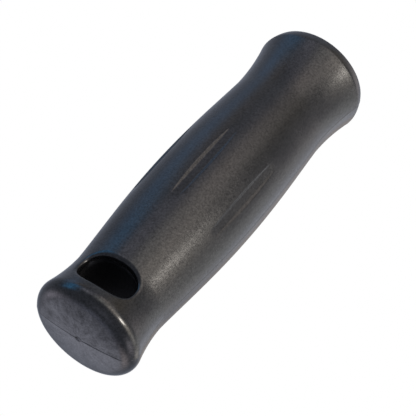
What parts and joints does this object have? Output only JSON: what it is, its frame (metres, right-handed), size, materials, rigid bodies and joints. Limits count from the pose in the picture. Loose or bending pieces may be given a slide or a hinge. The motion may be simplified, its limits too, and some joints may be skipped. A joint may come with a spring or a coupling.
{
  "type": "winch handle grip",
  "caption": "Revolving moulded hand grip of a winch handle, with a domed closed end, a cross slot and a steel spindle inside.",
  "frame": {"origin": "centre of the spindle's foot, on the face that seats on the crank arm", "axes": "+Z along the grip's axis towards its closed head, Y along the cross slot"},
  "size_m": [0.0368, 0.0368, 0.1267],
  "materials": {
    "black_moulding": "satin, fine moulded grain",
    "anodised_aluminium": "satin anodised",
    "white_acetal": "machined",
    "black_rubber": "matt",
    "screw_steel": "bright",
    "stainless_steel": "turned",
    "grey_nylon": "moulded",
    "spring_steel": "oiled"
  },
  "bodies": {
    "spindle": {"spindle": "stainless_steel", "lower_thrust_washer": "grey_nylon", "upper_thrust_washer": "screw_steel", "wave_washer": "spring_steel", "retaining_circlip": "spring_steel"},
    "grip": {"grip_body": "black_moulding", "bearing_sleeve": "anodised_aluminium", "lower_bush": "white_acetal", "upper_bush": "white_acetal", "shaft_seal": "black_rubber", "flange_gasket": "black_rubber", "sleeve_screw_1": "screw_steel", "sleeve_screw_2": "screw_steel", "sleeve_screw_3": "screw_steel"}
  },
  "joints": [
    {"name": "grip_spin", "type": "hinge", "parent": "spindle", "child": "grip", "pos_m": [0, 0, 0], "axis": [0, 0, 1], "continuous": true}
  ]
}
